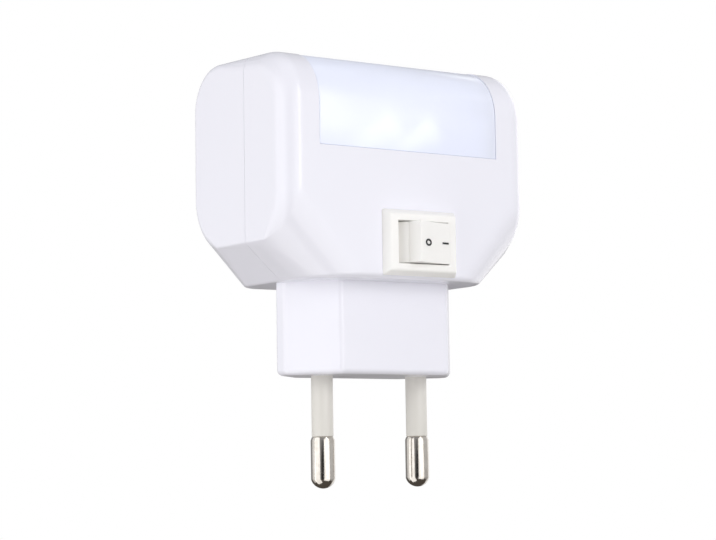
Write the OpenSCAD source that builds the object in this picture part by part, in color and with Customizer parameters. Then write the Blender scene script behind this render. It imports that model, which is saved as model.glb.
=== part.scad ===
// Plug-in LED night light: a two-part housing on a two-pin plug, with a lit window over the
// front top edge and a small rocker switch. Millimetres, +Z up, -Y to the front.
// The origin is the centre of the face that meets the wall socket.

/* [Plug] */
// Distance between the axes of the two pins
pin_pitch = 19; // [17.5:0.5:20]
// Diameter of the bare pin tips
pin_d = 4; // [3.9:0.1:4.8]
// Length of the pins below the plug's face
pin_len = 18.5; // [16:0.5:22]
// Rounding across the end of a pin, as the height of its dome
pin_dome_h = 1.5; // [1:0.1:1.8]
// Length of the slope between a pin's tip and its sleeve
pin_shoulder = 0.6; // [0.6:0.1:1]
// Diameter of the pin's core inside its sleeve
core_d = 2.6; // [2:0.1:2.8]
// Diameter of the insulating sleeves
sleeve_d = 3.6; // [3.4:0.1:3.9]
// Length of the sleeves below the plug's face
sleeve_len = 10; // [8:0.5:11]
// Depth to which the sleeves run up into the plug body
sleeve_seat = 3; // [2:0.5:5]
// Width of the plug body across its narrow ends
shank_w = 33.5; // [33:0.1:35]
// Thickness of the plug body from front to back
shank_t = 15.8; // [15:0.1:17]
// Width of the flat front and back of the plug body
shank_flat_w = 21.3; // [19:0.1:23]
// Thickness of the plug body at its narrow ends
shank_end_t = 2.5; // [2.3:0.1:3]
// Distance of the narrow ends behind the pins
shank_end_back = 1.2; // [0:0.1:1.5]
// Height of the plug body below the housing
shank_h = 15.3; // [13:0.1:20]
// Rounding of the plug body's upright edges
shank_edge_r = 1.2; // [0.6:0.1:1.4]
// Chamfer round the plug's face
shank_chamfer = 1; // [0.5:0.1:1.4]
// Height of the ears that hold the plug body inside the housing
ear_t = 1.5; // [1:0.1:2]

/* [Housing] */
// Width of the housing across its flat sides
body_w = 48.7; // [47:0.1:52]
// Height of the housing above the plug body
body_h = 37; // [36:0.1:44]
// Depth of the housing from its front face to its back face
body_d = 29.5; // [29.3:0.1:33]
// Distance of the front face from the plug's centre plane
front_y = 13.1; // [12.6:0.1:13.3]
// Distance of the seam between the shells behind the plug's centre plane
seam_y = -0.7; // [-1:0.1:1]
// Thickness of the housing's walls
wall = 1.5; // [1.2:0.1:1.8]
// Radius of the top edge at the front
top_r = 8.9; // [8:0.1:11]
// Radius of the top edge at the back
rear_top_r = 7.6; // [5:0.1:9]
// Radius of the lower corners of the flat sides
side_corner_r = 9.7; // [8:0.1:11]
// Rounding between the flat sides and the front
edge_r = 3.6; // [3:0.1:3.8]
// Rounding between the flat sides and the back
rear_edge_r = 1.3; // [1:0.1:2]
// Height of the slope below the flat sides
taper_h = 6.1; // [5.5:0.1:7]
// Rounding between the flat sides and the slope below them
knee_r = 0.6; // [0.4:0.1:1]
// Width of the housing at its base
base_w = 36.7; // [36:0.1:40]
// Corner radius of the base at the front, seen from below
base_r = 8.6; // [7:0.1:9.5]
// Corner radius of the base at the back, seen from below
rear_base_r = 4.8; // [4:0.1:7]
// Distance of the base's rear edge ahead of the back face
rear_lean = 2.3; // [1:0.1:2.8]
// Rounding of the base's lower edge
base_edge_r = 1; // [0.6:0.1:1.4]

/* [Window] */
// Width of the window
window_w = 35.4; // [33:0.1:37]
// Height of the window's lower edge above the housing's base
sill_h = 21; // [20:0.1:23]
// Depth of the lens behind the housing's face
lens_recess = 0.1; // [0:0.1:1.1]
// Width of the lens flange behind the window's edge
lens_flange = 1.4; // [1:0.1:1.6]
// Thickness of the lens flange
lens_flange_t = 0.9; // [0.7:0.1:1.2]

/* [Board and lights] */
// Distance between neighbouring LEDs
led_pitch = 7.5; // [6.5:0.5:9]
// Diameter of the LEDs
led_d = 5; // [4:0.5:5.5]
// Height of the LEDs above the board
led_h = 8.6; // [7:0.2:9.5]
// Distance of the LEDs behind the housing's front face
led_inset = 7.6; // [7:0.1:8]
// Thickness of the reflector's floor
reflector_floor = 1.2; // [1:0.1:1.5]
// Thickness of the reflector's walls
reflector_wall = 1; // [0.8:0.1:1.2]
// Thickness of the circuit board
board_t = 1.6; // [1.2:0.2:2]
// Width of the circuit board
board_w = 40; // [38:0.1:41]

/* [Switch] */
// Distance of the switch to the right of the housing's middle
switch_x = 1.3; // [0:0.1:1.6]
// Width of the switch bezel
bezel_w = 14.6; // [14.4:0.1:16]
// Height of the switch bezel
bezel_h = 10.9; // [10.4:0.1:11]
// Thickness of the switch bezel in front of the housing
bezel_t = 1.5; // [1.2:0.1:1.8]
// Width of the slope round the bezel
bezel_slope = 0.8; // [0.4:0.1:0.9]
// Width of the switch body behind the bezel
frame_w = 13; // [12.8:0.1:13.2]
// Height of the switch body behind the bezel
frame_h = 8.4; // [8.2:0.1:8.6]
// Depth of the switch body behind the housing's front face
frame_depth = 11; // [10.8:0.1:11.4]
// Radius of the rocker's end faces round its pivot
rocker_r = 4.85; // [4.7:0.05:5.2]
// Height of the rocker
rocker_h = 6.7; // [6.3:0.1:6.8]
// Depth of the pivot behind the bezel's front
pivot_depth = 4; // [3.8:0.1:4.2]
// Diameter of the rocker's pivot studs
trunnion_d = 2; // [1.6:0.1:2.2]
// Angle of the rocker to each side of its middle
rocker_angle = 15; // [12:1:15]
// Angle of the contact lever to each side of its middle
lever_angle = 6; // [5:0.5:6]

/* [Screws and wires] */
// Distance of the case screws from the middle
screw_x = 16; // [15.8:0.1:16.4]
// Height of the case screws above the housing's base
screw_rise = 12; // [11.5:0.1:12.4]
// Diameter of the case screws
screw_d = 2.6; // [2.2:0.1:3]
// Diameter of the case screws' heads
screw_head_d = 5; // [4.5:0.1:5.4]
// Diameter of the wires
wire_d = 1.4; // [1:0.1:1.6]

/* [Hidden] */

// Smoothness of plain round parts, of the rounded housing and of its inner edges
$fn = 48;
form_fn = 32;
inner_fn = 8;
// Least rounding of the housing's inner edges
least_tube_r = 0.3;
// Overrun of a cut past the face it goes through
past = 1;
// Clearance round a pin or lead in its hole, and between seated pieces
fit_gap = 0.05;
seat_gap = 0.1;
// Clearance between pieces that only pass each other
pass_gap = 0.3;

// Heights of the housing
base_z = shank_h;
body_top = base_z + body_h;
floor_z = base_z + wall;
sill_z = base_z + sill_h;
rear_y = body_d - front_y;
taper_angle = atan((body_w - base_w) / 2 / taper_h);
// Ends of the sharp crease above the slope, ahead of the pins' plane and behind it
knee_front = 6.5;
knee_rear = 8.5;

// Plug body: the neck that passes through the housing's floor, and its ears
neck_inset = 1.5;
neck_top = floor_z + seat_gap;
ear_top = neck_top + ear_t;
ear_inner = (pin_pitch - core_d) / 2;
ear_outer = shank_w / 2 - neck_inset;
ear_depth = 5;
collar_rim = 0.8;
collar_d = core_d + 2 * collar_rim;
collar_t = 0.8;
tail_h = 1.4;
tail_top = ear_top + collar_t + tail_h;

// Lens and reflector, as depths below the housing's outer face
lens_back = wall + seat_gap + lens_flange_t;
reflector_inset = lens_back + pass_gap;
lens_w = window_w - 2 * seat_gap;
flange_w = window_w + 2 * lens_flange;
reflector_side_gap = 0.85;
reflector_w = window_w - 2 * reflector_side_gap;
reflector_rear_gap = 0.4;
reflector_rear = seam_y - reflector_rear_gap;

// Board
board_top = sill_z - pass_gap - reflector_floor;
board_bottom = board_top - board_t;
board_front = -front_y + lens_back + 2 * pass_gap;
board_rear_gap = 2;
board_rear = rear_y - wall - board_rear_gap;
led_y = led_inset - front_y;
led_rim = 0.4;
led_flange_d = led_d + 2 * led_rim;
led_flange_t = 1;
led_x = [-led_pitch, 0, led_pitch];
led_lead_pitch = 2.54;
lead_d = 0.6;
lead_hole_d = lead_d + 4 * fit_gap;
lead_tail = 1.6;

// Board components, hung under the board: sizes and centres
film_size = [12, 5.6, 11];
film_x = -6;
film_back_gap = 2.1;
film_at = [film_x, rear_y - wall - film_back_gap - film_size[1] / 2];
film_lead_pitch = 10;
can_d = 6.3;
can_h = 11;
can_x = 8;
can_back_gap = 2.85;
can_at = [can_x, rear_y - wall - can_back_gap - can_d / 2];
can_lead_pitch = 2.5;
bridge_size = [8.5, 6.5, 3.3];
bridge_at = [-9, 2.6];
bridge_lead_pitch = [7.6, 5.1];
resistor_len = 6.5;
resistor_d = 2.4;
resistor_x = 6.5;
resistor_inset = 2.4;
resistor_spacing = 4;
resistor_y = [for (i = [0, 1]) board_front + resistor_inset + i * resistor_spacing];
resistor_waist_cut = 0.25;
lead_run = 1.5;
resistor_lead_pitch = resistor_len + 2 * lead_run;
resistor_z = board_bottom - resistor_d / 2 - seat_gap;

// Switch, measured inward from the housing's front face and from the rocker's pivot
switch_z = floor_z + 2 * seat_gap + frame_h / 2;
pivot_y = -front_y - bezel_t + pivot_depth;
opening_w = 2 * rocker_r + pass_gap;
opening_h = rocker_h + pass_gap;
frame_back = frame_depth - front_y - pivot_y;
frame_floor = 1.5;
floor_depth = frame_back - frame_floor;
cutout_gap = 0.15;
snap_w = 0.6;
snap_len = 2.4;
snap_h = 4;
trunnion_len = (frame_h - opening_h) / 2 + (opening_h - rocker_h) / 2 - seat_gap;
rocker_shoulder = 3;
rocker_waist = 0.6;
rocker_edge_x = 3.67;
rocker_edge_y = 5.44;
rocker_valley = 0.4;
stem_w = 4.4;
stem_end = 3;
spring_bore_d = 2.4;
spring_bore_top = -1;
spring_d = 2;
spring_wire_d = 0.35;
spring_turns = 3;
plunger_d = 2.2;
plunger_head = 1.6;
plunger_tip_r = 0.6;

// Contacts of the switch, as depths behind the pivot
lever_t = 1;
lever_rise = 1.5;
lever_pivot = floor_depth - lever_rise;
lever_half = 3.6;
lever_h = 5;
plunger_end = lever_pivot - lever_t - seat_gap;
rod_r = 0.6;
rod_gap = 0.05;
contact_gap = 0.02;
load_top = lever_pivot + lever_half * sin(lever_angle) + contact_gap;
load_x = -3.4;
load_pad_w = 1.6;
blade_t = 0.8;
blade_h = 4.8;
blade_out = 5;
blade_end = frame_back + blade_out;
blade_tip_y = pivot_y + blade_end;

// Printed marks on the rocker's two facets
mark_t = 0.1;
ring_d = 1.3;
mark_stroke = 0.32;
bar_len = 1.5;
facet_angle = atan(rocker_valley / rocker_edge_x);
ring_x = -1.85;
bar_x = 2.5;

// Case screws and their bosses
screw_z = base_z + screw_rise;
boss_d = 7;
screw_head_t = 1.8;
counterbore_gap = 0.3;
counterbore_d = screw_head_d + 2 * counterbore_gap;
screw_seat_t = 5;
screw_seat_y = seam_y + screw_seat_t;
screw_len = 12;
pilot_spare = 1;
pilot_len = screw_len - screw_seat_t + pilot_spare;

// Ledges on the side walls that carry the board, and ribs that hold it down
ledge_t = 1.2;
ledge_reach = 1.2;
ledge_inner = board_w / 2 - ledge_reach;
ledge_front_gap = 2.4;
ledge_front = board_front + ledge_front_gap;
ledge_rear_gap = 4;
ledge_rear = board_rear - ledge_rear_gap;

// Wires: sides of a tube, and steps along each stretch of its curve
wire_sides = 8;
wire_steps = 4;
// Straight stretch of a wire at a pin's tail, at a switch blade and below the board
tail_run = 2.4;
blade_run = 2.5;
board_run = 2.6;
// Bends of the live wire, as steps from the pin's tail and from the load terminal's blade
live_tail_step = [1.9, 2.6, 3.6];
live_blade_step = [-2, 3, 0.8];
// Where the switched and neutral wires meet the board, and their bends on the way there
switched_at = [3, 8];
switched_bend_step = [-0.8, -0.6];
switched_bend_rise = 2.2;
switched_drop = 4;
neutral_at = [11, 3];
neutral_bend_step = [-0.6, -1];
neutral_drop = 5.5;
load_blade_end = [switch_x + load_x, blade_tip_y, switch_z];
common_blade_end = [switch_x, blade_tip_y, switch_z];
live_tail = [-pin_pitch / 2, 0, tail_top];
neutral_tail = [pin_pitch / 2, 0, tail_top];
switched_bend = switched_at + switched_bend_step;
neutral_bend = neutral_at + neutral_bend_step;
live_route = [
    live_tail,
    live_tail + [0, 0, tail_run],
    live_tail + live_tail_step,
    load_blade_end + live_blade_step,
    load_blade_end + [0, blade_run, 0],
    load_blade_end
];
switched_route = [
    common_blade_end,
    common_blade_end + [0, blade_run, 0],
    [switched_bend[0], switched_bend[1], switch_z + switched_bend_rise],
    [switched_at[0], switched_at[1], board_bottom - switched_drop],
    [switched_at[0], switched_at[1], board_bottom]
];
neutral_route = [
    neutral_tail,
    neutral_tail + [0, 0, tail_run],
    [neutral_bend[0], neutral_bend[1], board_bottom - neutral_drop],
    [neutral_at[0], neutral_at[1], board_bottom - board_run],
    [neutral_at[0], neutral_at[1], board_bottom]
];

// Housing form

// Quarter of a ring round the Z axis, from +X to +Y, with the given outer radius and tube radius
module quarter_ring(radius, tube, tube_fn) {
    rotate_extrude(angle = 90, $fn = form_fn)
        translate([radius - tube, 0])
            circle(tube, $fn = tube_fn);
}

// Half width of the base and lower end of the flat sides, for a form set in by inset
function base_half(inset) = base_w / 2 - inset * tan((90 - taper_angle) / 2);
function knee_z(inset) = base_z + taper_h + inset * tan(taper_angle / 2);

// Rings that round the right-hand corners of the housing's form towards a face that looks to +Y
module corner_rings(inset, face, side_edge_r, top_corner_r, base_corner_r, lean) {
    tube = max(side_edge_r - inset, least_tube_r);
    base_tube = max(base_edge_r - inset, least_tube_r);
    tube_fn = inset > 0 ? inner_fn : form_fn;
    side_x = body_w / 2 - inset - tube;
    base_x = base_half(inset) - base_corner_r + inset;
    translate([side_x, face - top_corner_r, body_top - top_corner_r])
        rotate([90, 0, 90])
            quarter_ring(top_corner_r - inset, tube, tube_fn);
    translate([side_x, face - side_corner_r, knee_z(inset + tube) + side_corner_r - inset - tube])
        rotate([0, 90, 0])
            quarter_ring(side_corner_r - inset, tube, tube_fn);
    translate([base_x, face - lean - base_corner_r, base_z + inset + base_tube])
        quarter_ring(base_corner_r - inset, base_tube, tube_fn);
}

// Bar that rounds the crease between the right-hand side and the slope below it
module knee_bar(inset) {
    bar_r = max(knee_r - inset, least_tube_r);
    translate([body_w / 2 - inset - bar_r, knee_rear, knee_z(inset + bar_r)])
        rotate([90, 0, 0])
            cylinder(knee_rear + knee_front, r = bar_r, $fn = inner_fn);
}

// The housing's form, set in by inset
module body_form(inset) {
    hull()
        for (flip = [0, 1])
            mirror([flip, 0, 0]) {
                corner_rings(inset, rear_y, rear_edge_r, rear_top_r, rear_base_r, rear_lean);
                mirror([0, 1, 0])
                    corner_rings(inset, front_y, edge_r, top_r, base_r, 0);
                knee_bar(inset);
            }
}

// Space in front of the seam, or behind it
module seam_side(facing) {
    reach = 2 * body_w;
    translate([-reach / 2, facing < 0 ? seam_y - reach : seam_y, base_z - past])
        cube([reach, reach, body_h + 2 * past]);
}

// One shell: its wall, and whatever stands on the inside of it
module shell(facing) {
    intersection() {
        body_form(0);
        union() {
            difference() {
                seam_side(facing);
                body_form(wall);
            }
            children();
        }
    }
}

// Side outline of the housing ahead of the window's rear end, drawn as Y and Z
module front_profile(inset, rear) {
    translate([top_r - front_y, body_top - top_r])
        intersection() {
            circle(top_r - inset);
            translate([-top_r, 0])
                square(top_r);
        }
    translate([inset - front_y, base_z])
        square([rear + front_y - inset, body_h - top_r]);
    translate([top_r - front_y, base_z])
        square([rear + front_y - top_r, body_h - inset]);
}

// Strip of the housing's form between two depths, above a given height and ahead of a given Y
module front_band(outer, inner, bottom, rear, width) {
    rotate([90, 0, 90])
        linear_extrude(width, center = true)
            difference() {
                front_profile(outer, rear);
                front_profile(inner, rear + past);
                translate([-front_y - past, base_z - past])
                    square([rear + front_y + 2 * past, bottom - base_z + past]);
            }
}

function unit(v) = v / norm(v);

// Point at a distance inside the corner between its two neighbours, as far from both sides
function corner_centre(before, corner, after, distance) =
    let (
        to_before = unit(before - corner),
        to_after = unit(after - corner),
        inward = unit(to_before + to_after),
        half_angle = acos(to_before * to_after) / 2
    )
    corner + inward * distance / sin(half_angle);

// Corners of the plug's eight-sided section, set in by inset
function shank_corners(inset) =
    let (
        flat_x = shank_flat_w / 2,
        flat_y = shank_t / 2,
        end_x = shank_w / 2,
        end_rear = shank_end_back + shank_end_t / 2,
        end_front = shank_end_back - shank_end_t / 2,
        p = [
            [flat_x, flat_y], [-flat_x, flat_y], [-end_x, end_rear], [-end_x, end_front],
            [-flat_x, -flat_y], [flat_x, -flat_y], [end_x, end_front], [end_x, end_rear]
        ],
        n = len(p)
    )
    [for (i = [0 : n - 1]) corner_centre(p[(i + n - 1) % n], p[i], p[(i + 1) % n], inset)];

// Points where the rounding at a corner meets its two sides
function corner_tangents(before, corner, after, radius) =
    let (
        to_before = unit(before - corner),
        to_after = unit(after - corner),
        reach = radius / tan(acos(to_before * to_after) / 2)
    )
    [corner + to_before * reach, corner + to_after * reach];

// Plug section with rounded corners
module shank_section(inset, radius) {
    p = shank_corners(inset);
    n = len(p);
    polygon([
        for (i = [0 : n - 1])
            each corner_tangents(p[(i + n - 1) % n], p[i], p[(i + 1) % n], radius)
    ]);
    for (i = [0 : n - 1])
        translate(corner_centre(p[(i + n - 1) % n], p[i], p[(i + 1) % n], radius))
            circle(radius);
}

// Straight bevel along each lower edge of the plug section, as the wedge that is cut away
module shank_bevel() {
    p = shank_corners(0);
    n = len(p);
    for (i = [0 : n - 1]) {
        run = p[(i + 1) % n] - p[i];
        middle = (p[(i + 1) % n] + p[i]) / 2;
        translate([middle[0], middle[1], 0])
            rotate([0, 0, atan2(run[1], run[0])])
                rotate([90, 0, -90])
                    linear_extrude(norm(run) + 2 * past, center = true)
                        polygon([
                            [-shank_chamfer - past, -past],
                            [past, -past],
                            [past, shank_chamfer + past]
                        ]);
    }
}

// Shells and window

module front_boss(side) {
    translate([side * screw_x, seam_y, screw_z])
        rotate([90, 0, 0])
            cylinder(front_y + seam_y - wall / 2, d = boss_d);
}

module switch_cutout() {
    translate([switch_x - frame_w / 2 - cutout_gap, -front_y - past, switch_z - frame_h / 2 - cutout_gap])
        cube([frame_w + 2 * cutout_gap, wall + 2 * past, frame_h + 2 * cutout_gap]);
}

// Opening in the housing's floor for the neck of the plug body
module neck_opening() {
    translate([0, 0, base_z - past])
        linear_extrude(wall + 2 * past)
            polygon(shank_corners(neck_inset - seat_gap));
}

// Strip on a side wall under or over the board, between two depths
module board_ledge(side, bottom, from, to) {
    outer = body_w / 2 - wall / 2;
    translate([side > 0 ? ledge_inner : -outer, from, bottom])
        cube([outer - ledge_inner, to - from, ledge_t]);
}

module front_shell() {
    color("whitesmoke")
        difference() {
            shell(-1)
                for (side = [-1, 1]) {
                    front_boss(side);
                    board_ledge(side, board_bottom - ledge_t, ledge_front, seam_y);
                    board_ledge(side, board_top, ledge_front, seam_y);
                }
            translate([-window_w / 2, -front_y - past, sill_z])
                cube([window_w, front_y + seam_y + 2 * past, body_top - sill_z + past]);
            switch_cutout();
            neck_opening();
            for (side = [-1, 1])
                translate([side * screw_x, seam_y + past, screw_z])
                    rotate([90, 0, 0])
                        cylinder(pilot_len + past, d = screw_d + 2 * fit_gap);
        }
}

module rear_boss(side) {
    translate([side * screw_x, seam_y, screw_z])
        rotate([-90, 0, 0])
            cylinder(rear_y - wall / 2 - seam_y, d = boss_d);
}

module rear_shell() {
    color("whitesmoke")
        difference() {
            shell(1)
                for (side = [-1, 1]) {
                    rear_boss(side);
                    board_ledge(side, board_bottom - ledge_t, seam_y, ledge_rear);
                }
            neck_opening();
            for (side = [-1, 1])
                translate([side * screw_x, seam_y, screw_z])
                    rotate([-90, 0, 0]) {
                        translate([0, 0, screw_seat_y - seam_y])
                            cylinder(rear_y - screw_seat_y + past, d = counterbore_d);
                        translate([0, 0, -past])
                            cylinder(rear_y, d = screw_d + 4 * fit_gap);
                    }
        }
}

module window_lens() {
    color("lightcyan", 0.6)
        union() {
            front_band(lens_recess, lens_back, sill_z + seat_gap, seam_y - seat_gap, lens_w);
            front_band(wall + seat_gap, lens_back, sill_z - lens_flange, seam_y + lens_flange, flange_w);
        }
}

module reflector() {
    color("white")
        difference() {
            rotate([90, 0, 90])
                linear_extrude(reflector_w, center = true)
                    difference() {
                        front_profile(reflector_inset, reflector_rear);
                        translate([-front_y - past, base_z - past])
                            square([front_y + seam_y + 2 * past, board_top - base_z + past]);
                    }
            translate([
                reflector_wall - reflector_w / 2,
                -front_y - past,
                board_top + reflector_floor
            ])
                cube([
                    reflector_w - 2 * reflector_wall,
                    front_y + past + reflector_rear - reflector_wall,
                    body_h
                ]);
            for (x = led_x)
                translate([x, led_y, board_top - past])
                    cylinder(reflector_floor + 2 * past, d = led_flange_d + 2 * seat_gap);
        }
}

// Plug

module plug_body() {
    color("whitesmoke")
        difference() {
            union() {
                linear_extrude(base_z)
                    shank_section(0, shank_edge_r);
                translate([0, 0, base_z])
                    linear_extrude(neck_top - base_z)
                        polygon(shank_corners(neck_inset));
                for (side = [-1, 1])
                    translate([side > 0 ? ear_inner : -ear_outer, -ear_depth, neck_top])
                        cube([ear_outer - ear_inner, 2 * ear_depth, ear_t]);
            }
            shank_bevel();
            for (side = [-1, 1])
                translate([side * pin_pitch / 2, 0, 0]) {
                    translate([0, 0, -past])
                        cylinder(sleeve_seat + past, d = sleeve_d + 2 * fit_gap);
                    cylinder(ear_top + past, d = core_d + 2 * fit_gap);
                }
        }
}

module contact_pin(side) {
    dome_r = (pin_d * pin_d / 4 + pin_dome_h * pin_dome_h) / (2 * pin_dome_h);
    color("silver")
        translate([side * pin_pitch / 2, 0, 0]) {
            translate([0, 0, pin_dome_h - pin_len])
                cylinder(pin_len - pin_dome_h - pin_shoulder - sleeve_len, d = pin_d);
            translate([0, 0, -pin_shoulder - sleeve_len])
                cylinder(pin_shoulder, d1 = pin_d, d2 = sleeve_d);
            intersection() {
                translate([0, 0, dome_r - pin_len])
                    sphere(dome_r);
                translate([0, 0, -pin_len])
                    cylinder(pin_dome_h, d = pin_d + past);
            }
            translate([0, 0, -sleeve_len])
                cylinder(tail_top + sleeve_len, d = core_d);
            translate([0, 0, ear_top])
                cylinder(collar_t, d = collar_d);
        }
}

module pin_sleeve(side) {
    color("gainsboro")
        translate([side * pin_pitch / 2, 0, -sleeve_len])
            difference() {
                cylinder(sleeve_len + sleeve_seat, d = sleeve_d);
                translate([0, 0, -past])
                    cylinder(sleeve_len + sleeve_seat + 2 * past, d = core_d + 2 * fit_gap);
            }
}

module contact_pin_left() contact_pin(-1);
module contact_pin_right() contact_pin(1);
module pin_sleeve_left() pin_sleeve(-1);
module pin_sleeve_right() pin_sleeve(1);

// Switch

// Places its children at the rocker's pivot, with Y as the depth behind it
module at_pivot() {
    translate([switch_x, pivot_y, switch_z])
        children();
}

// Places its children at the pivot, turned with the rocker as it stands when switched on
module at_rocker() {
    at_pivot()
        rotate([0, 0, rocker_angle])
            children();
}

// Block given by its width, height, and first and last depth behind the pivot
module pivot_block(width, height, from, to, x = 0) {
    translate([x - width / 2, from, -height / 2])
        cube([width, to - from, height]);
}

// One sloping side of the bezel: the corner that is cut away along an edge
module bezel_cut(length, half) {
    translate([half, -pivot_depth, -length / 2 - past])
        linear_extrude(length + 2 * past)
            polygon([
                [-bezel_slope, -past], [-bezel_slope, 0], [0, bezel_t], [past, bezel_t], [past, -past]
            ]);
}

module switch_frame() {
    slot = 2 * fit_gap;
    color("ivory")
        at_pivot()
            difference() {
                union() {
                    pivot_block(bezel_w, bezel_h, -pivot_depth, bezel_t - pivot_depth);
                    pivot_block(frame_w, frame_h, bezel_t - pivot_depth, frame_back);
                    for (side = [0, 1])
                        mirror([side, 0, 0])
                            translate([frame_w / 2, bezel_t - pivot_depth + wall + seat_gap, -snap_h / 2])
                                linear_extrude(snap_h)
                                    polygon([[-past, 0], [snap_w, 0], [0, snap_len], [-past, snap_len]]);
                }
                for (side = [0, 1]) {
                    mirror([side, 0, 0])
                        bezel_cut(bezel_h, bezel_w / 2);
                    rotate([0, 90 + 180 * side, 0])
                        bezel_cut(bezel_w, bezel_h / 2);
                }
                pivot_block(opening_w, opening_h, -pivot_depth - past, floor_depth);
                cylinder(frame_h + past, d = trunnion_d + 2 * fit_gap, center = true);
                pivot_block(blade_t + slot, blade_h + slot, floor_depth - past, frame_back + past);
                pivot_block(blade_t + slot, blade_h + slot, floor_depth - past, frame_back + past, load_x);
            }
}

module switch_rocker() {
    color("ivory")
        at_rocker()
            difference() {
                union() {
                    translate([0, 0, -rocker_h / 2])
                        linear_extrude(rocker_h) {
                            intersection() {
                                circle(rocker_r);
                                translate([-rocker_r, -rocker_shoulder])
                                    square([2 * rocker_r, rocker_shoulder + rocker_waist]);
                            }
                            rocker_cap();
                        }
                    pivot_block(stem_w, rocker_h, 0, stem_end);
                    cylinder(rocker_h + 2 * trunnion_len, d = trunnion_d, center = true);
                }
                translate([0, spring_bore_top, 0])
                    rotate([-90, 0, 0])
                        cylinder(stem_end - spring_bore_top + past, d = spring_bore_d);
            }
}

// Two facets of the rocker's top, which meet in a shallow valley
module rocker_cap() {
    shoulder_x = sqrt(rocker_r * rocker_r - rocker_shoulder * rocker_shoulder);
    polygon([
        [-shoulder_x, -rocker_shoulder],
        [-rocker_edge_x, -rocker_edge_y],
        [0, rocker_valley - rocker_edge_y],
        [rocker_edge_x, -rocker_edge_y],
        [shoulder_x, -rocker_shoulder]
    ]);
}

// Places a mark on the facet at distance x from the valley, with +Z out of the facet
module on_facet(x) {
    facet_y = rocker_valley * (1 - abs(x) / rocker_edge_x) - rocker_edge_y;
    translate([x, facet_y, 0])
        rotate([90, 0, -sign(x) * facet_angle])
            children();
}

module rocker_marks() {
    color("black")
        at_rocker() {
            on_facet(ring_x)
                difference() {
                    cylinder(mark_t, d = ring_d);
                    translate([0, 0, -past])
                        cylinder(mark_t + 2 * past, d = ring_d - 2 * mark_stroke);
                }
            on_facet(bar_x)
                translate([-bar_len / 2, -mark_stroke / 2, 0])
                    cube([bar_len, mark_stroke, mark_t]);
        }
}

module rocker_plunger() {
    color("peru")
        at_rocker()
            rotate([-90, 0, 0]) {
                translate([0, 0, plunger_head])
                    cylinder(plunger_end - plunger_tip_r - plunger_head, d = plunger_d);
                translate([0, 0, plunger_end - plunger_tip_r])
                    cylinder(plunger_tip_r / 2, r = plunger_tip_r);
                translate([0, 0, plunger_end - plunger_tip_r])
                    sphere(plunger_tip_r);
            }
}

// Coil spring in the rocker's bore, as one tube along its helix
spring_len = plunger_head - spring_bore_top - spring_wire_d;
function spring_point(t) =
    let (r = (spring_d - spring_wire_d) / 2)
    [
        r * cos(360 * spring_turns * t),
        spring_bore_top + spring_wire_d / 2 + spring_len * t,
        r * sin(360 * spring_turns * t)
    ];

module rocker_spring() {
    rings = 12 * spring_turns;
    color("lightgray")
        at_rocker()
            tube([for (i = [0 : rings]) spring_point(i / rings)], spring_wire_d, 6);
}

module contact_lever() {
    color("goldenrod")
        at_pivot()
            translate([0, lever_pivot, 0])
                rotate([0, 0, -lever_angle])
                    difference() {
                        pivot_block(2 * lever_half, lever_h, -lever_t, 0);
                        cylinder(lever_h + past, r = rod_r + rod_gap, center = true);
                    }
}

module common_terminal() {
    color("goldenrod")
        at_pivot() {
            translate([0, lever_pivot, 0])
                cylinder(blade_h, r = rod_r, center = true);
            pivot_block(blade_t, blade_h, lever_pivot, blade_end);
        }
}

module load_terminal() {
    color("goldenrod")
        at_pivot() {
            pivot_block(load_pad_w, blade_h, load_top, floor_depth, load_x);
            pivot_block(blade_t, blade_h, load_top, blade_end, load_x);
        }
}

// Board and its components

// Feet of the leads under the board and under the LEDs, as X and Y
led_feet = [for (x = led_x, side = [-1, 1]) [x + side * led_lead_pitch / 2, led_y]];
film_feet = [for (side = [-1, 1]) film_at + [side * film_lead_pitch / 2, 0]];
can_feet = [for (side = [-1, 1]) can_at + [side * can_lead_pitch / 2, 0]];
bridge_feet = [
    for (i = [-1, 1], j = [-1, 1])
        bridge_at + [i * bridge_lead_pitch[0] / 2, j * bridge_lead_pitch[1] / 2]
];
resistor_feet = [for (y = resistor_y, side = [-1, 1]) [resistor_x + side * resistor_lead_pitch / 2, y]];
component_feet = concat(film_feet, can_feet, bridge_feet);

module circuit_board() {
    color("seagreen")
        difference() {
            translate([-board_w / 2, board_front, board_bottom])
                cube([board_w, board_rear - board_front, board_t]);
            for (foot = concat(led_feet, component_feet, resistor_feet))
                translate([foot[0], foot[1], board_bottom - past])
                    cylinder(board_t + 2 * past, d = lead_hole_d);
        }
}

module led(x) {
    color("azure", 0.8)
        translate([x, led_y, board_top]) {
            cylinder(led_flange_t, d = led_flange_d);
            cylinder(led_h - led_d / 2, d = led_d);
            translate([0, 0, led_h - led_d / 2])
                sphere(d = led_d);
        }
}

module led_left() led(led_x[0]);
module led_centre() led(led_x[1]);
module led_right() led(led_x[2]);

module led_leads() {
    color("silver")
        for (foot = led_feet)
            translate([foot[0], foot[1], board_bottom - lead_tail])
                cylinder(board_t + lead_tail, d = lead_d);
}

// Box hung under the board
module hung_box(size, at) {
    translate([at[0] - size[0] / 2, at[1] - size[1] / 2, board_bottom - size[2]])
        cube(size);
}

module film_capacitor() {
    color("firebrick")
        hung_box(film_size, film_at);
}

module smoothing_capacitor() {
    groove_z = 2;
    groove_r = 0.5;
    color("midnightblue")
        translate([can_at[0], can_at[1], board_bottom - can_h])
            difference() {
                cylinder(can_h, d = can_d);
                translate([0, 0, can_h - groove_z])
                    rotate_extrude()
                        translate([can_d / 2 + groove_r / 2, 0])
                            circle(groove_r);
            }
}

module bridge_rectifier() {
    color("dimgray")
        hung_box(bridge_size, bridge_at);
}

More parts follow.
